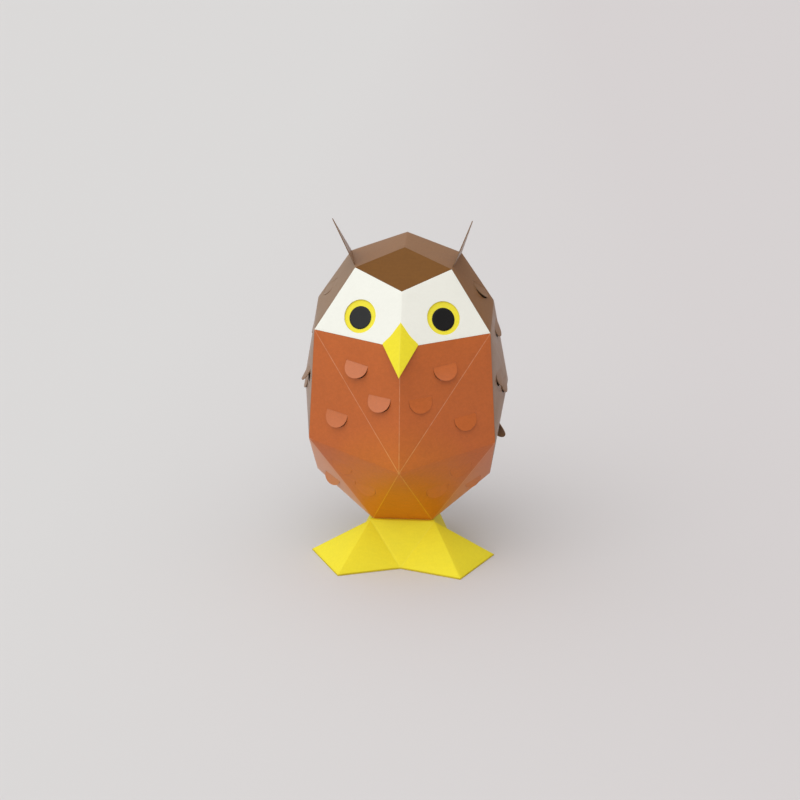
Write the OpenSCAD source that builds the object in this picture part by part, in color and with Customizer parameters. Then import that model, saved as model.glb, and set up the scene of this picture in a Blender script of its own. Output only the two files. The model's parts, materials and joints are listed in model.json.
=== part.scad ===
// Faceted folded-card owl with lifting feather flaps, standing on a folded-card base of two feet.
// Millimetres. +Z is up, the beak points along -Y, +X is the side on the right seen from the front.
// The origin is on the ground, in the middle of the sole card.

/* [Body] */
// Height of the crown above the ground
owl_h = 200; // [160:5:240]
// Thickness of the coloured card
card_t = 0.5; // [0.3:0.05:0.6]
// Thickness of the cream face card, which is two sheets pasted together
face_t = 0.8; // [0.6:0.1:1]

/* [Eyes] */
// Diameter of the round hole in the face card
eye_d = 20; // [17:0.5:21]
// Diameter of the yellow iris card behind the hole
iris_d = 24.5; // [23:0.5:25]
// Diameter of the black pupil disc
pupil_d = 13.7; // [10:0.1:16]
// Thickness of the pupil paper
pupil_t = 0.3; // [0.2:0.05:0.5]
// How far the pupil sits below the middle of the iris
pupil_drop = 0.7; // [0:0.1:1.5]

/* [Feathers] */
// Width of a feather flap along its crease
feather_w = 14.4; // [12:0.2:15]
// Length of a feather flap from its crease to its round end
feather_l = 9.6; // [8:0.2:10]
// Width of the cut all round a feather flap
cut_gap = 0.12; // [0.05:0.01:0.2]

/* [Ear tufts] */
// Gap between the foot of a tuft and the crown seam, where it creases
tuft_gap = 0.25; // [0.2:0.01:0.4]
// Share of the crown seam left free in front of the foot of a tuft
tuft_start = 0.12; // [0.05:0.01:0.3]

/* [Base] */
// Height of the seat on top of the feet
seat_h = 24.6; // [20:0.2:28]
// Thickness of the flat sole card
sole_t = 0.8; // [0.6:0.1:1.2]

/* [Hidden] */
$fn = 48;
k = owl_h / 200;
TERRACOTTA = [0.72, 0.38, 0.21];
BROWN = [0.47, 0.36, 0.26];
CREAM = [0.95, 0.94, 0.88];
YELLOW = [0.93, 0.85, 0.22];
OCHRE = [0.50, 0.35, 0.20];
BLACK = [0.07, 0.07, 0.07];
CORE = [0, 0, 100 * k];

// Corners of the body. A corner with x = 0 lies on the middle plane, every other one has a mirror twin.
function height_on(a, b, c, x, y) =
    let (n = cross(b - a, c - a)) a.z - (n.x * (x - a.x) + n.y * (y - a.y)) / n.z;
function side_on(a, b, c, y, z) =
    let (n = cross(b - a, c - a)) a.x - (n.y * (y - a.y) + n.z * (z - a.z)) / n.x;
apex = [0, 12, 200];
fore = [0, -12.5, 196];
brow = [0, -40.5, 176];
chin = [0, -54.5, 145.5];
keel = [0, -59, 69.5];
nape = [0, 47, 182];
back = [0, 65, 112];
rump = [0, 55, 60];
temple = [28.5, -26, fore.z + (-26 - fore.y) * (brow.z - fore.z) / (brow.y - fore.y)];
crown = [33.5, 3, height_on(apex, fore, temple, 33.5, 3)];
cheek = [52.2, -34.5, height_on(brow, temple, chin, 52.2, -34.5)];
head = [side_on(temple, crown, cheek, 1, 161), 1, 161];
side = [63.6, 11, 107.5];
waist = [56.5, -33, 81];
hip = [53.7, -13.5, 54];
toe = [18.4, -21, seat_h / k];
nape_side = [38, 40, 160];
back_side = [48, 48, 108];
rump_side = [38, 41, 52];
heel = [16, 17, seat_h / k];

MIDDLE = [apex, fore, brow, chin, keel, nape, back, rump];
RIGHT = [temple, crown, cheek, head, side, waist, hip, toe, nape_side, back_side, rump_side, heel];
NM = len(MIDDLE);
NR = len(RIGHT);
CORNERS = k * concat(MIDDLE, RIGHT, [for (p = RIGHT) [-p.x, p.y, p.z]]);
// Numbers of the corners in CORNERS
APEX = 0; FORE = 1; BROW = 2; CHIN = 3; KEEL = 4; NAPE = 5; BACK = 6; RUMP = 7;
TEMPLE = 8; CROWN = 9; CHEEK = 10; HEAD = 11; SIDE = 12; WAIST = 13; HIP = 14; TOE = 15;
NAPE_S = 16; BACK_S = 17; RUMP_S = 18; HEEL = 19;
function twin(i) = i < NM ? i : i < NM + NR ? i + NR : i - NR;
function mirrored(facets) = [for (f = facets) [for (i = f) twin(i)]];
function both(facets) = concat(facets, mirrored(facets));

BREAST = concat(
    both([[CHIN, CHEEK, KEEL], [CHEEK, WAIST, KEEL], [WAIST, TOE, KEEL], [WAIST, HIP, TOE]]),
    [[KEEL, TOE, twin(TOE)], [TOE, twin(TOE), twin(HEEL), HEEL]]);
FACE = both([[BROW, TEMPLE, CHEEK, CHIN]]);
FOREHEAD = [[FORE, TEMPLE, BROW, twin(TEMPLE)]];
CROWN_TOP = both([[APEX, CROWN, TEMPLE, FORE], [TEMPLE, CROWN, HEAD, CHEEK], [APEX, NAPE, CROWN],
    [CROWN, NAPE, NAPE_S], [CROWN, NAPE_S, HEAD]]);
SIDE_RIGHT = [[HEAD, CHEEK, SIDE], [CHEEK, WAIST, SIDE], [WAIST, HIP, SIDE],
    [HEAD, BACK_S, SIDE], [HEAD, NAPE_S, BACK_S], [BACK_S, RUMP_S, SIDE], [RUMP_S, HIP, SIDE]];
BACK_SIDE = concat(
    both([[NAPE, BACK, NAPE_S], [NAPE_S, BACK, BACK_S], [BACK, BACK_S, RUMP_S], [BACK, RUMP, RUMP_S],
        [RUMP, RUMP_S, HEEL], [RUMP_S, HIP, HEEL], [HIP, TOE, HEEL]]),
    [[RUMP, HEEL, twin(HEEL)]]);
BODY = concat(BREAST, FACE, FOREHEAD, CROWN_TOP, SIDE_RIGHT, mirrored(SIDE_RIGHT), BACK_SIDE);

// Corners of the base: middle corners, then those on the right, then their mirror twins.
// The last four on the right and the second middle one are the inner ends of the glue flanges.
ground_z = sole_t / k;
FEET_MIDDLE = [[0, -41.5, ground_z], [0, -32, ground_z]];
FEET_RIGHT = [[20, -23, seat_h / k], [17, 18, seat_h / k], [37.4, -54.8, ground_z],
    [57.4, -16.5, ground_z], [30, 7, ground_z], [18, 36, ground_z],
    [33, -43, ground_z], [45, -17, ground_z], [22.5, 1, ground_z], [11, 26.5, ground_z]];
NFM = len(FEET_MIDDLE);
NFR = len(FEET_RIGHT);
FEET = k * concat(FEET_MIDDLE, FEET_RIGHT, [for (p = FEET_RIGHT) [-p.x, p.y, p.z]]);
FEET_CORE = k * [0, -10, 8];
NOTCH = 0; NOTCH_IN = 1; NECK_F = 2; NECK_R = 3; TOE_END = 4; OUTER = 5; INSTEP = 6; TAIL = 7;
TOE_IN = 8; OUTER_IN = 9; INSTEP_IN = 10; TAIL_IN = 11;
function foot_twin(i) = i < NFM ? i : i < NFM + NFR ? i + NFR : i - NFR;
FEET_HALF = [[NOTCH, TOE_END, NECK_F], [NECK_F, TOE_END, OUTER], [NECK_F, OUTER, INSTEP],
    [NECK_F, INSTEP, NECK_R], [NECK_R, INSTEP, TAIL],
    [NOTCH, NOTCH_IN, TOE_IN, TOE_END], [TOE_END, TOE_IN, OUTER_IN, OUTER],
    [OUTER, OUTER_IN, INSTEP_IN, INSTEP], [INSTEP, INSTEP_IN, TAIL_IN, TAIL]];
FEET_FACETS = concat(FEET_HALF, [for (f = FEET_HALF) [for (i = f) foot_twin(i)]],
    [[NOTCH, NECK_F, foot_twin(NECK_F)], [NECK_F, NECK_R, foot_twin(NECK_R), foot_twin(NECK_F)],
        [NECK_R, TAIL, foot_twin(TAIL), foot_twin(NECK_R)],
        [TAIL, TAIL_IN, foot_twin(TAIL_IN), foot_twin(TAIL)]]);
SOLE_RIGHT = [TOE_END, OUTER, INSTEP, TAIL];
SOLE = [for (i = concat([NOTCH], SOLE_RIGHT, [for (j = [3:-1:0]) foot_twin(SOLE_RIGHT[j])]))
    [FEET[i].x, FEET[i].y]];

// Feather flaps: name, facet, place across and down the facet from its middle, turn of the crease,
// lifts of the right and the left flap at rest, size and colour. Left flaps mirror the right ones.
SMALL = 0.78;
FEATHERS = [
    ["breast_upper", [CHIN, CHEEK, KEEL], -9, -11.7, 10, 20, 24, 1, TERRACOTTA],
    ["breast_inner", [CHIN, CHEEK, KEEL], 6, 6.9, 4, 9, 20, 1, TERRACOTTA],
    ["breast_outer", [CHEEK, WAIST, KEEL], -2, -1, 8, 12, 17, 1, TERRACOTTA],
    ["belly_outer", [WAIST, TOE, KEEL], -10.3, -10, 12, 4, 5, 1, TERRACOTTA],
    ["belly_inner", [WAIST, TOE, KEEL], 1.6, 6.2, 10, 5, 5, 1, TERRACOTTA],
    ["hip_front", [WAIST, HIP, TOE], -0.8, 0.8, 34, 5, 16, SMALL, TERRACOTTA],
    ["head_side", [TEMPLE, CROWN, HEAD, CHEEK], -10, 0, -40, 8, 2, 1, BROWN],
    ["cheek_side", [HEAD, CHEEK, SIDE], 1, -10.5, 10, 12, 3, 1, BROWN],
    ["wing_front", [CHEEK, WAIST, SIDE], -2, -9, -6, 12, 24, 1, BROWN],
    ["wing_middle", [CHEEK, WAIST, SIDE], -16, -0.5, -4, 10, 8, 1, BROWN],
    ["wing_tip", [RUMP_S, HIP, SIDE], 6.7, -8, -34, 42, 4, 1, BROWN],
    ["wing_upper", [HEAD, BACK_S, SIDE], 3, -5, -4, 8, 8, 1, BROWN],
    ["wing_rear", [HEAD, NAPE_S, BACK_S], -5, 3, 0, 20, 20, 1, BROWN],
    ["wing_lower", [BACK_S, RUMP_S, SIDE], 4, -5, 0, 24, 24, 1, BROWN],
    ["back_upper", [NAPE, BACK, NAPE_S], 1, -2, 0, 20, 20, 1, BROWN],
    ["back_middle", [NAPE_S, BACK, BACK_S], -1, 4, 0, 22, 22, 1, BROWN],
    ["back_lower", [BACK, BACK_S, RUMP_S], -2, -3, 0, 22, 22, 1, BROWN],
    ["rump", [BACK, RUMP, RUMP_S], 4, 3, 0, 18, 18, 1, BROWN]];

// Geometry of a facet
function middle(f, pts) = [for (j = [0:2]) [for (i = f) pts[i][j]] * [for (i = f) 1] / len(f)];
function normal(f, pts, core) =
    let (n = cross(pts[f[1]] - pts[f[0]], pts[f[2]] - pts[f[0]]), u = n / norm(n))
    u * (pts[f[0]] - core) > 0 ? u : -u;
function outline(f, pts, core) =
    cross(pts[f[1]] - pts[f[0]], pts[f[2]] - pts[f[0]]) * (pts[f[0]] - core) > 0
    ? [for (i = [len(f) - 1:-1:0]) f[i]] : f;

// Mitre of a corner: the shortest move that carries it inwards by one unit from every facet there.
// SHORTEST is a small weight on the length of the move, for corners where few facets meet.
SHORTEST = 1e-6;
function has(f, i) = len([for (j = f) if (j == i) 1]) > 0;
function mitre(i, facets, pts, core) =
    let (n = [for (f = facets) if (has(f, i)) normal(f, pts, core)],
        one = [for (u = n) 1],
        a = [for (r = [0:2]) [for (c = [0:2])
            [for (u = n) u[r]] * [for (u = n) u[c]] + (r == c ? SHORTEST : 0)]],
        b = [for (r = [0:2]) [for (u = n) u[r]] * one],
        d = a[0] * cross(a[1], a[2]))
    [b * cross(a[1], a[2]), a[0] * cross(b, a[2]), a[0] * cross(a[1], b)] / d;
BODY_MITRE = [for (i = [0:len(CORNERS) - 1]) mitre(i, BODY, CORNERS, CORE)];
FEET_MITRE = [for (i = [0:len(FEET) - 1]) mitre(i, FEET_FACETS, FEET, FEET_CORE)];

// A sheet of card folded over the facets: outer faces, inner faces and mitred edges
function edges(facets) = [for (f = facets, i = [0:len(f) - 1]) [f[i], f[(i + 1) % len(f)]]];
function fans(facets) = [for (f = facets, i = [1:len(f) - 2]) [f[0], f[i], f[i + 1]]];
function rims(facets) =
    let (e = edges(facets))
    [for (d = e) if (len([for (o = e) if (o[0] == d[1] && o[1] == d[0]) 1]) == 0) d];
module folded(facets, pts, mitres, core, t) {
    n = len(pts);
    out = [for (f = facets) outline(f, pts, core)];
    tris = fans(out);
    inner = [for (f = tris) [f[2] + n, f[1] + n, f[0] + n]];
    rim = [for (e = rims(out)) each e[0] < e[1]
        ? [[e[1], e[0], e[0] + n], [e[1], e[0] + n, e[1] + n]]
        : [[e[1], e[0], e[1] + n], [e[0], e[0] + n, e[1] + n]]];
    polyhedron(concat(pts, [for (i = [0:n - 1]) pts[i] - t * mitres[i]]), concat(tris, inner, rim));
}

// Placing matrix with its X axis along x and its Z axis along z, which is square to x
function columns(x, z, o = [0, 0, 0]) =
    let (y = cross(z, x))
    [[x.x, y.x, z.x, o.x], [x.y, y.y, z.y, o.y], [x.z, y.z, z.z, o.z], [0, 0, 0, 1]];

// Frame on a facet: X along the crease of a flap, Y down the facet, Z outwards
function frame_on(f, across, down, turn) =
    let (n = normal(f, CORNERS, CORE),
        d0 = [0, 0, -1] + n.z * n, dn = d0 / norm(d0), ac = cross(dn, n))
    columns(cos(turn) * ac + sin(turn) * dn, n, middle(f, CORNERS) + k * (across * ac + down * dn));
function feather_frame(row, s) = s > 0
    ? frame_on(row[1], row[2], row[3], row[4])
    : frame_on([for (i = row[1]) twin(i)], -row[2], row[3], -row[4]);

// Round-ended flap, its crease along X
module feather_outline(w, l) {
    intersection() {
        union() {
            translate([-w / 2, 0]) square([w, l - w / 2]);
            translate([0, l - w / 2]) circle(d = w);
        }
        translate([-w, 0]) square([2 * w, 2 * l]);
    }
}
module feather(row, s) {
    size = k * row[7];
    lift = s > 0 ? row[5] : row[6];
    color(row[8]) multmatrix(feather_frame(row, s)) rotate([lift, 0, 0])
        translate([0, cut_gap / 4, -card_t]) linear_extrude(card_t)
        feather_outline(size * feather_w - 2 * cut_gap, size * feather_l - cut_gap);
}

// Openings that the flaps leave in a panel
function same(a, b) = len([for (i = a) if (has(b, i)) 1]) == len(a);
function holds(facets, f) = len([for (g = facets) if (same(f, g)) 1]) > 0;
module flap_openings(facets) {
    for (row = FEATHERS, s = [1, -1])
        if (holds(facets, s > 0 ? row[1] : [for (i = row[1]) twin(i)]))
            multmatrix(feather_frame(row, s)) translate([0, 0, -2 * card_t])
                linear_extrude(3 * card_t)
                feather_outline(k * row[7] * feather_w, k * row[7] * feather_l);
}
module panel(facets, t = card_t) {
    difference() {
        folded(facets, CORNERS, BODY_MITRE, CORE, t);
        flap_openings(facets);
    }
}

module breast_panel() color(TERRACOTTA) panel(BREAST);
module forehead_panel() color(OCHRE) panel(FOREHEAD);
module crown_panel() color(BROWN) panel(CROWN_TOP);
module side_panel(s) color(BROWN) panel(s > 0 ? SIDE_RIGHT : mirrored(SIDE_RIGHT));
module back_panel() color(BROWN) panel(BACK_SIDE);

// Eyes: a hole in the face card, the iris card pasted behind it and the pupil pasted on the iris
function face_point(x, z) =
    let (n = cross(temple - brow, chin - brow))
    [x, brow.y - (n.x * (x - brow.x) + n.z * (z - brow.z)) / n.y, z];
eye = face_point(24.5, 160.2);
module on_eye(s) {
    n = normal([BROW, TEMPLE, CHIN], CORNERS, CORE);
    mirror([s > 0 ? 0 : 1, 0, 0]) translate(k * eye)
        multmatrix(columns([n.y, -n.x, 0] / norm([n.y, -n.x]), n)) children();
}
module face_panel() color(CREAM) difference() {
    panel(FACE, face_t);
    for (s = [1, -1]) on_eye(s) translate([0, 0, -2 * face_t]) cylinder(d = k * eye_d, h = 3 * face_t);
}
module iris(s) color(YELLOW) on_eye(s) translate([0, 0, -face_t - card_t])
    cylinder(d = k * iris_d, h = card_t);
module pupil(s) color(BLACK) on_eye(s) translate([0, k * pupil_drop, -face_t])
    cylinder(d = k * pupil_d, h = pupil_t);

// Beak: a kite of card folded along its ridge. Its upper edges are bevelled to lie on the face card.
beak_z = 159.7;
beak_top = [0, brow.y + (brow.z - beak_z) / (brow.z - chin.z) * (chin.y - brow.y), beak_z];
beak_side = face_point(10.8, 147);
beak_tip = [0, -64.5, 130.3];
BEAK = k * [beak_top, beak_side, beak_tip, [-beak_side.x, beak_side.y, beak_side.z]];
module beak() {
    facets = [[0, 1, 2], [0, 2, 3]];
    core = k * [0, -40, 140];
    n = normal(facets[0], BEAK, core);
    along = cross(normal([BROW, TEMPLE, CHIN], CORNERS, CORE), BEAK[1] - BEAK[0]);
    side_move = along / (n * along);
    top_move = (chin - brow) / (n * (chin - brow));
    tip_move = [0, n.y, n.z] / (n.y * n.y + n.z * n.z);
    moves = [top_move, side_move, tip_move, [-side_move.x, side_move.y, side_move.z]];
    color(YELLOW) folded(facets, BEAK, moves, core, card_t);
}

// Ear tufts: flat triangles of card that stand on the seams between the temples and the crown
tuft_tip = [40.5, -38, 218];
module ear_tuft(s) {
    a = k * temple;
    b = k * crown;
    tip = k * tuft_tip;
    run = (b - a) / norm(b - a);
    q = cross(b - a, tip - a);
    flat = q / norm(q);
    rise = cross(flat, run);
    foot_a = a + tuft_start * (b - a) + rise * tuft_gap;
    foot_b = b - run * k + rise * tuft_gap;
    front = [for (p = [foot_a, foot_b, tip]) p + flat * card_t / 2];
    rear = [for (p = [foot_a, foot_b, tip]) p - flat * card_t / 2];
    color(BROWN) mirror([s > 0 ? 0 : 1, 0, 0]) polyhedron(concat(front, rear),
        [[0, 2, 1], [3, 4, 5], [0, 1, 4], [0, 4, 3], [1, 2, 5], [1, 5, 4], [2, 0, 3], [2, 3, 5]]);
}

// Base: one folded card with its glue flanges turned in underneath, and a flat sole card below it
module feet_base() color(YELLOW) folded(FEET_FACETS, FEET, FEET_MITRE, FEET_CORE, card_t);
module sole_card() color(YELLOW) linear_extrude(sole_t) polygon(SOLE);

breast_panel();
face_panel();
forehead_panel();
crown_panel();
side_panel(1);  // side_panel_right
side_panel(-1);  // side_panel_left
back_panel();
beak();
iris(1);  // iris_right
iris(-1);  // iris_left
pupil(1);  // pupil_right
pupil(-1);  // pupil_left
ear_tuft(1);  // ear_tuft_right
ear_tuft(-1);  // ear_tuft_left
feet_base();
sole_card();
for (row = FEATHERS) {
    feather(row, 1);
    feather(row, -1);
}
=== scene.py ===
"""Folded card owl: card sheets, creases, feather flaps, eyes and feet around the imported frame."""
import json
import math
import bpy
import bmesh
from mathutils import Matrix, Vector, noise
from mathutils.geometry import convex_hull_2d, delaunay_2d_cdt


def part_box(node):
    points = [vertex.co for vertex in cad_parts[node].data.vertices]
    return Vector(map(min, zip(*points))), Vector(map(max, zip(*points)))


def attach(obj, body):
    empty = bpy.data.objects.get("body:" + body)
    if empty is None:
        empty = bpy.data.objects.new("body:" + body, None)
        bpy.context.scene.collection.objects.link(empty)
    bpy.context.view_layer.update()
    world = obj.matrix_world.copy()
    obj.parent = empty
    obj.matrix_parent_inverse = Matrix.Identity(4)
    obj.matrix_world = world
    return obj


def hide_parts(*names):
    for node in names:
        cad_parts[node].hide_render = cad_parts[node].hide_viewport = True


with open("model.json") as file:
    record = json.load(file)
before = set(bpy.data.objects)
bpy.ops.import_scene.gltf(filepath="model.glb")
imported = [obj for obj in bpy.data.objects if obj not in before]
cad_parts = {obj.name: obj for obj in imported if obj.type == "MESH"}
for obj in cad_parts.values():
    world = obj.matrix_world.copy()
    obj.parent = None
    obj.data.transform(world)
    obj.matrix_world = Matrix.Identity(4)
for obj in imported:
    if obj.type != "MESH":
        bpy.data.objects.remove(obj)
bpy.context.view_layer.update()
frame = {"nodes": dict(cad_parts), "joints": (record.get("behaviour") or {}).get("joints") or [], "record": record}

MM = 0.001
BODY_CORE = Vector((0, 0, 100)) * MM
FEET_CORE = Vector((0, -10, 8)) * MM
BEAK_CORE = Vector((0, -40, 140)) * MM
TUFT_CORE = Vector((0, 0, 200)) * MM
JOINTS = {j["child"]: j for j in frame["joints"]}
FEATHERS = sorted(n for n in frame["nodes"] if n.startswith("feather_"))

# Measures of the card work, in metres, and the angle past which an edge is drawn sharp
SHARP_DEGREES = 50
CREASE_BAND = 0.5 * MM
CREASE_PRESS = 0.07 * MM
SEAM_GAP = 0.07 * MM
SEAM_DROP = 0.05 * MM
EDGE_STEP = 3.0 * MM
GRID_STEP = 4.2 * MM
BULGE = 0.28 * MM
BULGE_REACH = 9.0 * MM
WAVE = 0.10 * MM
WAVE_LENGTH = 26.0 * MM
SOLE_BEVEL = 0.14 * MM
RIM_GAP = 0.34 * MM
FLAP_CUT = 0.12 * MM
FLAP_CUP = 0.35 * MM
FLAP_STEP = 1.5 * MM
FINE_STEP = 3.0 * MM
BEAK_STEP = 2.0 * MM
BEAK_BULGE = 0.2 * MM

# How a feather flap curls: its rise at the free end when flush, and more for each degree of lift
FLAT_CURL = 0.08 * MM
CURL_PER_DEGREE = 0.035 * MM

# Painted sheen: how much paler the left side of the head and the left and right hip facets are painted, standing
# in for the sheen of the window and the pale floor on them, how much of that a hip flap shows, and how much paler
# each lifted flap on the left is painted per degree of lift, as it turns up to the light
PAINTED_SHEEN_HEAD = 0.3
PAINTED_SHEEN_LEFT_HIP = 0.45
PAINTED_SHEEN_RIGHT_HIP = 0.18
PAINTED_SHEEN_HIP_FLAP = 0.5
PAINTED_SHEEN_PER_DEGREE = 0.004

# Painted bounce light: where the breast card is painted golden, standing in for yellow light bounced up from the
# feet card, round the seat of the body
BOUNCE_GLOW_CENTRE = (0, -0.025, 0.02)
BOUNCE_GLOW_REACH = 86 * MM


# ---------------------------------------------------------------- reading the frame

def key(p):
    """A point's place as whole numbers, the same for points that coincide."""
    return tuple(round(c / (0.05 * MM)) for c in p)


def planes_of(node):
    """The flat faces of a CAD node, as [normal, distance, points], coplanar triangles joined."""
    mesh = frame["nodes"][node].data
    groups = []
    for polygon in mesh.polygons:
        if polygon.area < 1e-9:
            continue
        points = [mesh.vertices[i].co.copy() for i in polygon.vertices]
        normal = (points[1] - points[0]).cross(points[2] - points[0]).normalized()
        distance = normal.dot(points[0])
        for group in groups:
            if normal.dot(group[0]) > 0.99999 and abs(distance - group[1]) < 2e-5:
                group[2] += points
                break
        else:
            groups.append([normal, distance, points])
    return groups


def basis(normal):
    """Two directions in the plane square to normal, the first one level."""
    level = Vector((0, 0, 1)).cross(normal)
    if level.length < 1e-3:
        level = Vector((1, 0, 0))
    level.normalize()
    return level, normal.cross(level)


def corners_of(normal, points):
    """The convex outline of points that lie in one plane, without corners on a straight edge."""
    u, v = basis(normal)
    points = list({key(p): p for p in points}.values())
    flat = [Vector((p.dot(u), p.dot(v))) for p in points]
    ring = [points[i] for i in convex_hull_2d(flat)]
    kept = []
    for i, p in enumerate(ring):
        before = p - ring[i - 1]
        after = ring[(i + 1) % len(ring)] - p
        if before.cross(after).length > 2e-3 * before.length * after.length:
            kept.append(p)
    if len(kept) > 2 and (kept[1] - kept[0]).cross(kept[2] - kept[0]).dot(normal) < 0:
        kept.reverse()
    return kept


def facets_of(node, core):
    """The outer facets of a folded sheet, and the thickness of its card.

    The base's glue flanges, which lie flat on the sole card, are left out.
    """
    groups = planes_of(node)
    facets = []
    for normal, distance, points in groups:
        if normal.dot(points[0] - core) <= 0 or (core is FEET_CORE and normal.z < -0.99):
            continue
        corners = corners_of(normal, points)
        if len(corners) < 3:
            continue
        longest = max((a - b).length for a in corners for b in corners)
        area = sum((corners[i] - corners[0]).cross(corners[i + 1] - corners[0]).length
                   for i in range(1, len(corners) - 1)) / 2
        if area / longest > 1.5 * MM:
            facets.append((normal, corners))
    thickness = min(abs(a[1] + b[1]) for a in groups for b in groups
                    if a[0].dot(b[0]) < -0.99999 and abs(a[1] + b[1]) > 0.05 * MM)
    return facets, thickness


# ---------------------------------------------------------------- sheets of card

def split_edge(a, b, step=EDGE_STEP):
    """Points from a up to but not including b, the same ones whichever end comes first."""
    count = max(1, round((b - a).length / step))
    return [a.lerp(b, i / count) for i in range(count)]


def inset_corners(corners, normal, distance):
    """The corners of a convex outline moved inwards by distance."""
    moved = []
    for i, p in enumerate(corners):
        before = (p - corners[i - 1]).normalized()
        after = (corners[(i + 1) % len(corners)] - p).normalized()
        inward = normal.cross(before) + normal.cross(after)
        moved.append(p + inward * distance / (1 + before.dot(after)))
    return moved


def feather_outline(width, length, margin=0.0, steps=18):
    """A half-round flap's outline with its crease on the x axis, margin wider all round."""
    radius = width / 2
    points = [(-radius - margin, -margin), (radius + margin, -margin)]
    for i in range(steps + 1):
        angle = math.pi * i / steps
        points.append(((radius + margin) * math.cos(angle),
                       length - radius + (radius + margin) * math.sin(angle)))
    return [p for p in points if p[1] >= -margin - 1e-9]


class Hole:
    """An opening in a facet: its outline, and the same outline a crease band further out."""

    def __init__(self, outline, wider, centre):
        self.outline = outline
        self.wider = wider
        self.centre = centre
        self.reach = max((p - centre).length for p in wider)

    def holds(self, p, ring):
        """Whether p, in the facet's plane, is inside ring, which is convex."""
        side = [(ring[(i + 1) % len(ring)] - q).cross(p - q) for i, q in enumerate(ring)]
        return all(s.dot(side[0]) > 0 for s in side)


class Feather:
    """A flap's own frame at rest: crease along x, length along y, outwards along z."""

    def __init__(self, node):
        self.node = node
        joint = JOINTS[node]
        self.origin = Vector(joint["pos_m"])
        self.x = Vector(joint["axis"]).normalized()
        points = [v.co - self.origin for v in frame["nodes"][node].data.vertices]
        away = sum(points, Vector()) / len(points)
        away -= self.x * away.dot(self.x)
        outward = self.x.cross(away).normalized()
        self.z = max(planes_of(node), key=lambda g: g[0].dot(outward))[0]
        self.y = self.z.cross(self.x)
        self.width = 2 * max(p.dot(self.x) for p in points)
        self.length = max(p.dot(self.y) for p in points)
        self.thickness = -min(p.dot(self.z) for p in points)
        self.lift = -joint["range_deg"][0]
        self.panel_normal = Matrix.Rotation(math.radians(self.lift), 3, -self.x) @ self.z

    def at_rest(self, x, y, z=0.0):
        return self.origin + self.x * x + self.y * y + self.z * z


feathers = [Feather(n) for n in FEATHERS]


def feather_holes(normal, corners):
    """The openings that the flaps leave in one facet."""
    holes = []
    for f in feathers:
        if abs(normal.dot(f.origin - corners[0])) > 2e-5 or abs(normal.dot(f.x)) > 1e-3:
            continue
        inside = all(normal.cross(corners[(i + 1) % len(corners)] - p).dot(f.origin - p) > 0
                     for i, p in enumerate(corners))
        if not inside:
            continue
        down = normal.cross(f.x)
        place = lambda p: f.origin + f.x * p[0] + down * p[1]
        outline = feather_outline(f.width + 2 * FLAP_CUT, f.length + FLAP_CUT)
        wider = feather_outline(f.width + 2 * FLAP_CUT, f.length + FLAP_CUT, CREASE_BAND)
        holes.append(Hole([place(p) for p in outline], [place(p) for p in wider],
                          f.origin + down * f.length / 2))
    return holes


def distance_to_ring(p, ring):
    """The shortest distance from p to a closed ring of points."""
    best = 1.0
    for i, a in enumerate(ring):
        along = ring[(i + 1) % len(ring)] - a
        t = max(0.0, min(1.0, (p - a).dot(along) / along.length_squared))
        best = min(best, (p - a - along * t).length)
    return best


def mesh_facet(normal, corners, holes, step):
    """Points and triangles of one facet, with rings along its edges and its openings."""
    u, v = basis(normal)
    origin = corners[0]
    flat = lambda p: Vector(((p - origin).dot(u), (p - origin).dot(v)))
    points = []
    edges = []

    def ring(ps):
        first = len(points)
        points.extend(ps)
        edges.extend((first + i, first + (i + 1) % len(ps)) for i in range(len(ps)))

    def divided(cs):
        return [p for i, c in enumerate(cs) for p in split_edge(c, cs[(i + 1) % len(cs)], step)]

    band = inset_corners(corners, normal, CREASE_BAND)
    ring(divided(corners))
    ring(divided(band))
    for hole in holes:
        ring(hole.outline)
        ring(hole.wider)
    inner = inset_corners(corners, normal, 0.45 * step)
    low = Vector((min(flat(p).x for p in corners), min(flat(p).y for p in corners)))
    high = Vector((max(flat(p).x for p in corners), max(flat(p).y for p in corners)))
    rows = int((high.y - low.y) / (step * 0.87)) + 1
    columns = int((high.x - low.x) / step) + 2
    for r in range(rows):
        for c in range(columns):
            x = low.x + (c + 0.5 * (r % 2)) * step
            y = low.y + (r + 0.5) * step * 0.87
            p = origin + u * x + v * y
            if any(normal.cross(inner[(i + 1) % len(inner)] - q).dot(p - q) <= 0
                   for i, q in enumerate(inner)):
                continue
            if any((p - h.centre).length < h.reach + step and
                   (h.holds(p, h.wider) or distance_to_ring(p, h.wider) < 0.3 * step)
                   for h in holes):
                continue
            points.append(p)
    cdt = delaunay_2d_cdt([flat(p) for p in points], edges, [], 0, 1e-8)
    solid = [origin + u * q.x + v * q.y for q in cdt[0]]
    triangles = []
    for t in cdt[2]:
        a, b, c = (solid[i] for i in t)
        longest = max((b - a).length, (c - b).length, (a - c).length)
        if (b - a).cross(c - a).length < 1e-3 * longest * longest:
            continue
        middle = (a + b + c) / 3
        if any((middle - h.centre).length < h.reach and h.holds(middle, h.outline) for h in holes):
            continue
        triangles.append(list(t))
    return solid, triangles


def in_scene(name, data):
    """A new object in the scene with this data."""
    obj = bpy.data.objects.new(name, data)
    bpy.context.scene.collection.objects.link(obj)
    return obj


def mesh_object(name, bm, materials):
    """A mesh object made from bm, which is used up."""
    mesh = bpy.data.meshes.new(name)
    bm.to_mesh(mesh)
    bm.free()
    for m in materials:
        mesh.materials.append(m)
    return in_scene(name, mesh)


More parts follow.
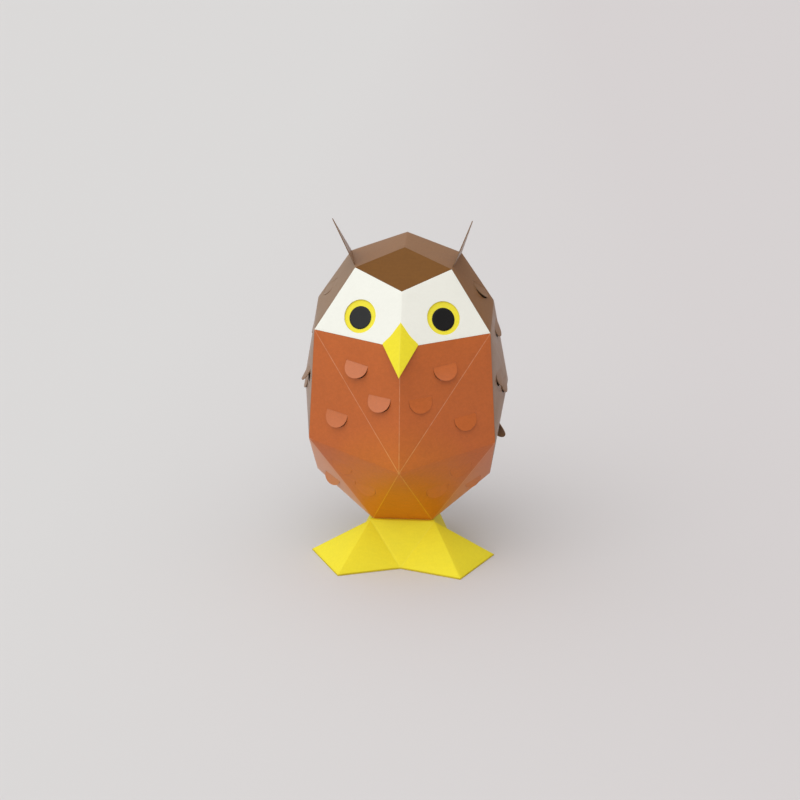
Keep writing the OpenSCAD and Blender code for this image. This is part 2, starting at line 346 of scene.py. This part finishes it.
def closed_sheet(name, points, normals, triangles, thickness, crease, materials, painted_sheen=()):
    """A mesh object with the given outer surface, the card's thickness and cut edges."""
    bm = bmesh.new()
    # Per-point layers: how pale the line on a fold is, and how much painted sheen the point gets
    bm.verts.layers.float.new("crease")
    bm.verts.layers.float.new("painted_sheen")
    fold, pale = (bm.verts.layers.float[n] for n in ("crease", "painted_sheen"))
    outer = [bm.verts.new(p) for p in points]
    inner = []
    for p, n in zip(points, normals):
        inner.append(bm.verts.new(p - n * (thickness / n.length_squared)))
    for vert, value in zip(outer, crease):
        vert[fold] = value
    for vert, value in zip(outer, painted_sheen):
        vert[pale] = value
    for t in triangles:
        bm.faces.new([outer[i] for i in t]).smooth = True
        bm.faces.new([inner[i] for i in reversed(t)]).smooth = True
    sides = dict.fromkeys((a, t[(i + 1) % len(t)]) for t in triangles for i, a in enumerate(t))
    for a, b in sides:
        if (b, a) in sides:
            continue
        wall = bm.faces.new((outer[b], outer[a], inner[a], inner[b]))
        wall.smooth = True
        wall.material_index = len(materials) - 1
    for e in bm.edges:
        kinds = {f.material_index for f in e.link_faces}
        if len(kinds) > 1 or e.calc_face_angle(0) > math.radians(SHARP_DEGREES):
            e.smooth = False
    bm.normal_update()
    return mesh_object(name, bm, materials)


def wear_and_highlight(along):
    """How pale a fold's line is: worn fibres plus a painted highlight, strongest on steep folds, which catch the
    light, and none on level folds.
    """
    return max(0.0, min(1.0, (abs(along.normalized().z) - 0.3) / 0.4))


def painted_sheen_of(normal):
    """How much painted sheen a facet gets: only the left side of the head and the hip facets get it, standing in
    for the sheen of the window and the floor on them.
    """
    if normal.x < -0.6 and normal.z > 0.4:
        return PAINTED_SHEEN_HEAD if normal.y < 0 else 0.5 * PAINTED_SHEEN_HEAD
    if normal.z > -0.48 or normal.y > -0.5 or abs(normal.x) < 0.5:
        return 0.0
    return PAINTED_SHEEN_RIGHT_HIP if normal.x > 0 else PAINTED_SHEEN_LEFT_HIP


def folded_sheet(name, node, core, materials, holes_in=feather_holes, step=GRID_STEP, bulge=BULGE,
                 gap=SEAM_GAP):
    """Rebuilds a CAD sheet from its facets, with pressed creases and facets that bow a little."""
    facets, thickness = facets_of(node, core)
    meets = {}
    for normal, corners in facets:
        for i, c in enumerate(corners):
            pair = frozenset((key(c), key(corners[(i + 1) % len(corners)])))
            meets.setdefault(pair, []).append(normal)
    index = {}
    points = []
    moves = []
    normals = []
    crease = []
    painted_sheen = []
    triangles = []
    for normal, corners in facets:
        holes = holes_in(normal, corners)
        solid, facet_triangles = mesh_facet(normal, corners, holes, step)
        sides = []
        for i, a in enumerate(corners):
            b = corners[(i + 1) % len(corners)]
            normals_here = meets[frozenset((key(a), key(b)))]
            fold = wear_and_highlight(b - a) if len(normals_here) > 1 else None
            sides.append((a, normal.cross(b - a).normalized(), fold))
        local = []
        for p in solid:
            distances = [max(0.0, inward.dot(p - a)) for a, inward, fold in sides]
            nearest = min(distances)
            near_hole = min((distance_to_ring(p, h.outline) for h in holes
                             if (p - h.centre).length < h.reach + 2 * step), default=1.0)
            spread = 1 - math.exp(-nearest / BULGE_REACH)
            rise = spread * (bulge + WAVE * noise.noise(p / WAVE_LENGTH))
            shift = Vector()
            mark = 0.0
            for (a, inward, fold), d in zip(sides, distances):
                if d > 0.1 * CREASE_BAND:
                    continue
                if fold is not None:
                    rise -= CREASE_PRESS
                    mark = max(mark, fold)
                else:
                    rise -= SEAM_DROP
                    shift += inward * gap
            if near_hole < 0.1 * CREASE_BAND:
                rise -= 0.5 * SEAM_DROP
            move = normal * rise + shift
            k = key(p)
            if nearest < 0.1 * CREASE_BAND and k in index:
                j = index[k]
                moves[j].append(move)
                normals[j].append(normal)
                crease[j] = max(crease[j], mark)
                # A point on a fold keeps the strongest painted sheen of the facets that meet there
                painted_sheen[j] = max(painted_sheen[j], painted_sheen_of(normal))
            else:
                j = len(points)
                if nearest < 0.1 * CREASE_BAND:
                    index[k] = j
                points.append(p)
                moves.append([move])
                normals.append([normal])
                crease.append(mark)
                painted_sheen.append(painted_sheen_of(normal))
            local.append(j)
        triangles += [[local[i] for i in t] for t in facet_triangles]
    average = lambda vs: sum(vs, Vector()) / len(vs)
    placed = [p + average(m) for p, m in zip(points, moves)]
    return closed_sheet(name, placed, [average(n) for n in normals], triangles, thickness, crease,
                        materials, painted_sheen)


# ---------------------------------------------------------------- materials

def srgb(r, g, b):
    """A colour given in 0 to 255 as seen, as linear values."""
    line = lambda c: c / 12.92 if c <= 0.04045 else ((c + 0.055) / 1.055) ** 2.4
    return tuple(line(c / 255) for c in (r, g, b)) + (1.0,)


class Graph:
    """A material's node tree, with short calls for the nodes that are used here."""

    def __init__(self, name):
        self.material = bpy.data.materials.new(name)
        self.material.use_nodes = True
        self.tree = self.material.node_tree
        self.shader = self.tree.nodes["Principled BSDF"]

    def node(self, kind, links=None, **values):
        made = self.tree.nodes.new(kind)
        for attribute, value in values.items():
            setattr(made, attribute, value)
        for socket, source in (links or {}).items():
            if isinstance(source, bpy.types.NodeSocket):
                self.tree.links.new(source, made.inputs[socket])
            else:
                made.inputs[socket].default_value = source
        return made

    def noise(self, scale, detail=4.0, stretch=(1, 1, 1), turn=(0, 0, 0)):
        place = self.node("ShaderNodeTexCoord").outputs["Object"]
        mapped = self.node("ShaderNodeMapping", {"Vector": place, "Scale": stretch,
                                                 "Rotation": turn})
        made = self.node("ShaderNodeTexNoise", {"Vector": mapped.outputs[0], "Scale": scale,
                                                "Detail": detail, "Roughness": 0.6})
        return made.outputs["Fac"]

    def ramp(self, source, low, high, out_low=0.0, out_high=1.0):
        made = self.node("ShaderNodeMapRange", {"Value": source, "From Min": low, "From Max": high,
                                                "To Min": out_low, "To Max": out_high})
        return made.outputs[0]

    def mix(self, factor, a, b, blend="MIX"):
        made = self.node("ShaderNodeMix", data_type="RGBA", blend_type=blend)
        for socket, source in ((0, factor), (6, a), (7, b)):
            if isinstance(source, bpy.types.NodeSocket):
                self.tree.links.new(source, made.inputs[socket])
            else:
                made.inputs[socket].default_value = source
        return made.outputs[2]

    def math(self, kind, a, b):
        return self.node("ShaderNodeMath", {0: a, 1: b}, operation=kind).outputs[0]

    def plug(self, socket, source):
        self.tree.links.new(source, self.shader.inputs[socket])


def scaled(colour, factor):
    return tuple(min(1.0, c * factor) for c in colour[:3]) + (1.0,)


def card(name, colour, line, roughness=0.62, mottle=0.06, fibre=0.07, sheen=0.0, specular=0.35,
         polish=0.0, painted_sheen=None, painted_bounce=None):
    """Dyed craft card: clouded colour, short fibres, a fine tooth, and paler lines on the creases, which are worn
    fibres with a painted highlight.

    polish is how much smoother the card looks when seen at a flat angle. The sheen colour, if given, is the paler
    colour of a painted sheen, and the bounce tint, if given, is painted yellow light bounced from the feet card,
    deepening towards the seat of the body.
    """
    g = Graph(name)
    cloud = g.noise(42.0, 3.0)
    grain = g.noise(1900.0, 3.0)
    along = g.noise(900.0, 4.0, (1.0, 0.16, 1.0), (0.5, 0.3, 0.2))
    across = g.noise(900.0, 4.0, (0.16, 1.0, 0.5), (0.2, 0.6, 0.9))
    clouded = g.mix(g.ramp(cloud, 0.3, 0.7), scaled(colour, 1 - mottle), scaled(colour, 1 + mottle))
    strands = g.math("ADD", g.math("MULTIPLY", along, 0.5), g.math("MULTIPLY", across, 0.5))
    fibred = g.mix(g.ramp(strands, 0.42, 0.60), scaled(colour, 1 - 1.2 * fibre),
                   scaled(colour, 1 + 1.2 * fibre))
    body = g.mix(0.5, clouded, fibred)
    speck = g.ramp(grain, 0.62, 0.72, 0.0, 0.35)
    body = g.mix(speck, body, scaled(colour, 1 + 3 * fibre))
    # Painted sheen: a paler colour mixed in where the sheet's layer says, standing in for the sheen of the window
    # and the floor
    pale = g.node("ShaderNodeAttribute", attribute_name="painted_sheen").outputs["Fac"]
    if painted_sheen:
        body = g.mix(pale, body, painted_sheen)
    # Paler lines on the folds: worn fibres plus a painted highlight
    fold = g.node("ShaderNodeAttribute", attribute_name="crease").outputs["Fac"]
    patchy = g.ramp(g.noise(260.0, 3.0), 0.3, 0.6, 0.35, 0.8)
    body = g.mix(g.math("MULTIPLY", g.ramp(fold, 0.3, 0.85), patchy), body, line)
    # Painted bounce light: a golden tint standing in for yellow light bounced up from the feet card, kept off the
    # facets that have painted sheen
    if painted_bounce:
        place = g.node("ShaderNodeTexCoord").outputs["Object"]
        wide = g.node("ShaderNodeVectorMath", {0: place, 1: (1.45, 1, 1)}, operation="MULTIPLY")
        away = g.node("ShaderNodeVectorMath", {0: wide.outputs[0], 1: BOUNCE_GLOW_CENTRE},
                      operation="DISTANCE")
        share = g.ramp(away.outputs["Value"], BOUNCE_GLOW_REACH, 0.4 * BOUNCE_GLOW_REACH)
        share = g.math("MULTIPLY", share, g.ramp(pale, 0.0, 0.5, 1.0, 0.0))
        body = g.mix(share, body, painted_bounce, "MULTIPLY")
    g.plug("Base Color", body)
    sides = g.node("ShaderNodeLayerWeight", {"Blend": 0.5}).outputs["Facing"]
    smooth = g.ramp(sides, 0.6, 0.95, 0.0, polish)
    g.plug("Roughness", g.math("SUBTRACT", g.ramp(cloud, 0.25, 0.75, roughness - 0.05,
                                                  roughness + 0.06), smooth))
    g.shader.inputs["Specular IOR Level"].default_value = specular
    g.shader.inputs["Sheen Weight"].default_value = sheen
    g.shader.inputs["Sheen Roughness"].default_value = 0.2
    tooth = g.math("ADD", g.math("MULTIPLY", grain, 0.6), g.math("MULTIPLY", strands, 1.0))
    bump = g.node("ShaderNodeBump", {"Height": tooth, "Strength": 0.22, "Distance": 0.0002})
    g.plug("Normal", bump.outputs[0])
    return g.material


def cut_edge(name, colour):
    """The cut edge of a card: the dyed core, a little paler and rougher than its face."""
    g = Graph(name)
    layers = g.noise(700.0, 4.0, (1.0, 1.0, 3.0))
    g.plug("Base Color", g.mix(g.ramp(layers, 0.35, 0.65), scaled(colour, 0.82),
                               scaled(colour, 1.12)))
    g.plug("Roughness", g.ramp(layers, 0.3, 0.7, 0.75, 0.9))
    bump = g.node("ShaderNodeBump", {"Height": layers, "Strength": 0.4, "Distance": 0.0001})
    g.plug("Normal", bump.outputs[0])
    return g.material


TERRACOTTA = srgb(190, 98, 40)
BROWN = srgb(135, 95, 60)
# The forehead's card: the same brown card, given a darker, deeper colour as painted shade, since face-on it shows
# less of the sheen that pales the brown card's grazing sides
SHADED_BROWN = srgb(119, 78, 33)
CREAM = srgb(238, 239, 230)
YELLOW = srgb(236, 221, 44)
PALE_YELLOW = srgb(241, 228, 58)
BLACK = srgb(8, 9, 11)

# Each card's second colour is its fold line, worn fibres with a painted highlight; the paler colour given to the
# terracotta and brown cards is painted sheen, and the terracotta's golden tint is painted bounce light from the
# feet card
terracotta = [card("terracotta_card", TERRACOTTA, srgb(212, 146, 108), roughness=0.38, specular=0.4,
                   sheen=0.8, polish=0.2, painted_sheen=srgb(222, 184, 160),
                   painted_bounce=(1.20, 1.48, 0.10, 1.0)),
              cut_edge("terracotta_edge", srgb(188, 106, 62))]
brown = [card("brown_card", BROWN, srgb(152, 124, 98), roughness=0.40, specular=0.36, sheen=0.1,
              polish=0.05, painted_sheen=srgb(148, 138, 122)),
         cut_edge("brown_edge", srgb(140, 110, 82))]
# The forehead's darker copy of the brown card: painted shade
shaded_brown = [card("umber_card", SHADED_BROWN, srgb(140, 100, 58), roughness=0.5, specular=0.14),
         cut_edge("shaded_brown_edge", srgb(136, 98, 58))]
cream = [card("cream_card", CREAM, srgb(242, 242, 234), mottle=0.012, fibre=0.015, specular=0.3),
         cut_edge("cream_edge", srgb(232, 226, 208))]
yellow = [card("yellow_card", YELLOW, srgb(237, 224, 70), mottle=0.03, fibre=0.035, specular=0.25),
          cut_edge("yellow_edge", srgb(202, 180, 36))]
iris_yellow = [card("iris_card", PALE_YELLOW, PALE_YELLOW, mottle=0.02, fibre=0.03, specular=0.3),
               cut_edge("iris_edge", srgb(214, 198, 60))]
black = [card("black_paper", BLACK, srgb(60, 60, 60), roughness=0.24, specular=0.28),
         cut_edge("black_edge", srgb(30, 30, 30))]
SETS = {"terracotta_card": terracotta, "brown_card": brown, "umber_card": shaded_brown,
        "cream_card": cream, "yellow_card": yellow, "black_paper": black}
SLOT_OF = {s["node"]: s["material_slot"] for s in frame["record"]["subparts"]}
BODY_OF = {n: b for b, ns in frame["record"]["behaviour"]["bodies"].items() for n in ns}


def settle(obj, node):
    """Puts a rebuilt piece on its node's body, in place of the node."""
    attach(obj, BODY_OF[node])
    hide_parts(node)
    return obj


# ---------------------------------------------------------------- the pieces

def disc_frame(node):
    """Centre of the front face, outward normal, radius and thickness of a flat round CAD node."""
    groups = planes_of(node)
    outward = sum((v.co for v in frame["nodes"][node].data.vertices), Vector())
    outward = outward / len(frame["nodes"][node].data.vertices) - BODY_CORE
    faces = sorted(groups, key=lambda g: -len(g[2]))[:2]
    normal, _, points = max(faces, key=lambda g: g[0].dot(outward))
    low = [min(p[i] for p in points) for i in range(3)]
    high = [max(p[i] for p in points) for i in range(3)]
    centre = Vector([(a + b) / 2 for a, b in zip(low, high)])
    radius = max((p - centre).length for p in points)
    thickness = abs(faces[0][1] + faces[1][1])
    return centre, normal, radius, thickness


def eye_holes(normal, corners):
    """The round eye openings that lie in one facet of the face card."""
    holes = []
    points = [v.co for v in frame["nodes"]["face_panel"].data.vertices]
    for side in ("right", "left"):
        centre, facing, _, _ = disc_frame("iris_" + side)
        centre = centre + facing * facing.dot(corners[0] - centre)
        if facing.dot(normal) < 0.999:
            continue
        opening = min((p - centre).length for p in points if abs(facing.dot(p - centre)) < 1e-5)
        u, v = basis(normal)
        turn = [2 * math.pi * i / 64 for i in range(64)]
        circle = lambda r: [centre + u * (r * math.cos(t)) + v * (r * math.sin(t)) for t in turn]
        holes.append(Hole(circle(opening), circle(opening + CREASE_BAND), centre))
    return holes


def no_holes(normal, corners):
    return []


def paper_disc(node, materials, dish):
    """A punched paper disc with a rounded edge, pressed a little in the middle."""
    centre, normal, radius, thickness = disc_frame(node)
    u, v = basis(normal)
    profile = [(0.0, -dish), (0.35, -0.8 * dish), (0.7, -0.3 * dish), (0.93, 0.0),
               (0.985, -0.12 * thickness), (1.0, -0.35 * thickness)]
    around = 72
    points = [centre + normal * profile[0][1]]
    triangles = []
    for share, height in profile[1:]:
        for i in range(around):
            t = 2 * math.pi * i / around
            points.append(centre + (u * math.cos(t) + v * math.sin(t)) * radius * share
                          + normal * height)
    for i in range(around):
        j = (i + 1) % around
        triangles.append([0, 1 + i, 1 + j])
        for r in range(len(profile) - 2):
            a = 1 + r * around
            triangles.append([a + i, a + around + i, a + around + j])
            triangles.append([a + i, a + around + j, a + j])
    return closed_sheet(node + "_paper", points, [normal] * len(points), triangles,
                        0.6 * thickness, [0.0] * len(points), materials)


def sole_plate(node, materials):
    """The flat card under the feet, with soft edges where the blade pressed them over."""
    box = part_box(node)
    height = box[1][2] - box[0][2]
    corners = [v.co for v in frame["nodes"][node].data.vertices if v.co.z > box[1][2] - 0.01 * MM]
    corners = list({key(p): p.copy() for p in corners}.values())
    middle = sum(corners, Vector()) / len(corners)
    corners.sort(key=lambda p: math.atan2(p.y - middle.y, p.x - middle.x))
    outline = [p for i, c in enumerate(corners)
               for p in split_edge(c, corners[(i + 1) % len(corners)], 1.5 * MM)]
    bm = bmesh.new()
    rings = []
    for inset, drop in ((SOLE_BEVEL, 0.0), (0.3 * SOLE_BEVEL, 0.3 * SOLE_BEVEL), (0.0, SOLE_BEVEL),
                        (0.0, height - SOLE_BEVEL), (SOLE_BEVEL, height)):
        ring = []
        for i, p in enumerate(outline):
            along = outline[(i + 1) % len(outline)] - outline[i - 1]
            inward = Vector((-along.y, along.x, 0)).normalized()
            ring.append(bm.verts.new(p + inward * inset - Vector((0, 0, drop))))
        rings.append(ring)
    for upper, lower in zip(rings, rings[1:]):
        for i in range(len(upper)):
            j = (i + 1) % len(upper)
            bm.faces.new((upper[i], lower[i], lower[j], upper[j])).material_index = 1
    lids = [bm.faces.new(rings[0]), bm.faces.new(list(reversed(rings[-1])))]
    bmesh.ops.triangulate(bm, faces=lids)
    return mesh_object(node + "_plate", bm, materials)


def feather_flap(f, materials):
    """A flap of card, cut half-round, curling up from its crease to its free end.

    The more a flap has been lifted, the more it curls.
    """
    curl = FLAT_CURL + CURL_PER_DEGREE * f.lift
    outline = feather_outline(f.width, f.length, 0.0, 26)
    inner = [(x * 0.93, 0.35 * MM + y * 0.93) for x, y in outline]
    points = [Vector(p) for p in outline + inner]
    n = len(outline)
    edges = [(i, (i + 1) % n) for i in range(n)] + [(n + i, n + (i + 1) % n) for i in range(n)]
    for r in range(1, int(f.length / FLAP_STEP) + 1):
        for c in range(-6, 7):
            x = (c + 0.5 * (r % 2)) * FLAP_STEP
            y = r * FLAP_STEP
            top = math.sqrt(max(0.0, (f.width / 2) ** 2 - x * x)) + f.length - f.width / 2
            if abs(x) < f.width / 2 * 0.86 and y < 0.3 * MM + 0.88 * top:
                points.append(Vector((x, y)))
    cdt = delaunay_2d_cdt(points, edges, [], 0, 1e-8)
    solid = []
    normals = []
    crease = []
    for q in cdt[0]:
        share = q.y / f.length
        cup = -FLAP_CUP * (q.x / (f.width / 2)) ** 2 * share
        rise = curl * share * share + cup
        solid.append(f.at_rest(q.x, q.y, rise))
        slope = 2 * curl * share / f.length
        normals.append((f.z - f.y * slope).normalized())
        crease.append(0.7 if q.y < 0.05 * MM else 0.0)
    triangles = [list(t) for t in cdt[2]]
    a, b, c = (solid[i] for i in triangles[0])
    if (b - a).cross(c - a).dot(f.z) < 0:
        triangles = [list(reversed(t)) for t in triangles]
    # Painted sheen on a flap: lifted flaps on the left are painted paler the more they turn up to the light, and
    # hip flaps show a share of their facet's painted sheen
    lit = PAINTED_SHEEN_PER_DEGREE * f.lift if f.panel_normal.x < 0 else 0.0
    kept = 1.0 if f.panel_normal.z > 0 else PAINTED_SHEEN_HIP_FLAP
    pale = max(kept * painted_sheen_of(f.panel_normal), lit)
    return closed_sheet(f.node + "_flap", solid, normals, triangles, f.thickness, crease, materials,
                        [pale] * len(solid))


for node in ("breast_panel", "forehead_panel", "crown_panel", "side_panel_right",
             "side_panel_left", "back_panel"):
    settle(folded_sheet(node + "_card", node, BODY_CORE, SETS[SLOT_OF[node]]), node)
settle(folded_sheet("face_panel_card", "face_panel", BODY_CORE, cream, eye_holes, FINE_STEP),
       "face_panel")
settle(folded_sheet("beak_card", "beak", BEAK_CORE, yellow, no_holes, BEAK_STEP, BEAK_BULGE),
       "beak")
settle(folded_sheet("feet_card", "feet_base", FEET_CORE, yellow, no_holes, gap=RIM_GAP),
       "feet_base")
settle(sole_plate("sole_card", yellow), "sole_card")
for side in ("right", "left"):
    tuft = "ear_tuft_" + side
    settle(folded_sheet(tuft + "_card", tuft, TUFT_CORE, brown, no_holes, FINE_STEP), tuft)
    settle(paper_disc("iris_" + side, iris_yellow, 0.10 * MM), "iris_" + side)
    settle(paper_disc("pupil_" + side, black, 0.05 * MM), "pupil_" + side)
for f in feathers:
    settle(feather_flap(f, SETS[SLOT_OF[f.node]]), f.node)


# ---------------------------------------------------------------- camera, stage and light

def camera():
    """The photograph's viewing angle, with colours shown as they are."""
    bpy.context.scene.view_settings.view_transform = "Standard"
    yaw, tilt, roll = math.radians(3.41), math.radians(18.07), math.radians(0.33)
    distance = 1.0
    target = Vector((0, 0, 0.1031))
    look = Vector((-math.sin(yaw) * math.cos(tilt), math.cos(yaw) * math.cos(tilt),
                   -math.sin(tilt)))
    level = Vector((math.cos(yaw), math.sin(yaw), 0))
    rise = level.cross(look)
    right = level * math.cos(roll) + rise * math.sin(roll)
    up = rise * math.cos(roll) - level * math.sin(roll)
    data = bpy.data.cameras.new("camera")
    data.sensor_width = 36.0
    data.lens = 72.54
    data.shift_x = -0.0066
    data.shift_y = -0.0138
    obj = in_scene("camera", data)
    turn = Matrix((right, up, -look)).transposed().to_4x4()
    obj.matrix_world = Matrix.Translation(target - look * distance) @ turn
    bpy.context.scene.camera = obj


def stage():
    """A wide pale floor, with painted shade: a little darker and pinker towards the right, where the room is dim.
    """
    g = Graph("stage_paper")
    place = g.node("ShaderNodeTexCoord").outputs["Object"]
    across = g.node("ShaderNodeSeparateXYZ", {0: place}).outputs["X"]
    # Painted shade: the floor darker and pinker towards the right
    g.plug("Base Color", g.mix(g.ramp(across, -0.25, 0.25), srgb(212, 211, 211),
                               srgb(208, 204, 205)))
    g.shader.inputs["Roughness"].default_value = 0.85
    g.shader.inputs["Specular IOR Level"].default_value = 0.2
    bm = bmesh.new()
    rings = []
    for radius in (0.5, 1.5, 4.0, 9.0, 16.0):
        turn = [2 * math.pi * i / 48 for i in range(48)]
        rings.append([bm.verts.new((radius * math.cos(t), radius * math.sin(t), 0)) for t in turn])
    bm.faces.new(rings[0])
    for near, far in zip(rings, rings[1:]):
        for i in range(len(near)):
            j = (i + 1) % len(near)
            bm.faces.new((near[i], far[i], far[j], near[j]))
    mesh_object("stage", bm, [g.material])


def soft_sun(name, place, spread, strength, colour):
    """Light from a wide window far away, in the direction of place."""
    data = bpy.data.lights.new(name, "SUN")
    data.angle = math.radians(spread)
    data.energy = strength
    data.color = colour
    obj = in_scene(name, data)
    obj.location = place
    obj.rotation_euler = (-Vector(place)).to_track_quat("-Z", "Y").to_euler()


def lights():
    """A bright ceiling and a window high on the left, in a room that is dim on the right.

    What is seen of the room past the end of the floor is as pale as the floor.
    """
    soft_sun("window", (-0.6, -1.5, 1.9), 70, 0.88, (1.0, 0.995, 0.98))
    world = bpy.data.worlds.new("room")
    world.use_nodes = True
    tree = world.node_tree
    place = tree.nodes.new("ShaderNodeTexCoord").outputs["Generated"]
    towards = tree.nodes.new("ShaderNodeVectorMath")
    towards.operation = "DOT_PRODUCT"
    towards.inputs[1].default_value = Vector((-0.44, -0.12, 0.89)).normalized()
    tree.links.new(place, towards.inputs[0])
    share = tree.nodes.new("ShaderNodeMapRange")
    share.interpolation_type = "SMOOTHSTEP"
    share.inputs["From Min"].default_value = -0.15
    share.inputs["From Max"].default_value = 0.95
    tree.links.new(towards.outputs["Value"], share.inputs["Value"])
    walls = tree.nodes.new("ShaderNodeMix")
    walls.data_type = "RGBA"
    walls.inputs[6].default_value = (0.37, 0.30, 0.255, 1)
    walls.inputs[7].default_value = (1.07, 1.09, 1.10, 1)
    tree.links.new(share.outputs[0], walls.inputs[0])
    backdrop = tree.nodes.new("ShaderNodeMix")
    backdrop.data_type = "RGBA"
    backdrop.inputs[7].default_value = srgb(216, 213, 213)
    straight = tree.nodes.new("ShaderNodeLightPath").outputs["Is Camera Ray"]
    tree.links.new(straight, backdrop.inputs[0])
    tree.links.new(walls.outputs[2], backdrop.inputs[6])
    tree.links.new(backdrop.outputs[2], tree.nodes["Background"].inputs["Color"])
    tree.nodes["Background"].inputs["Strength"].default_value = 1.0
    bpy.context.scene.world = world


camera()
stage()
lights()
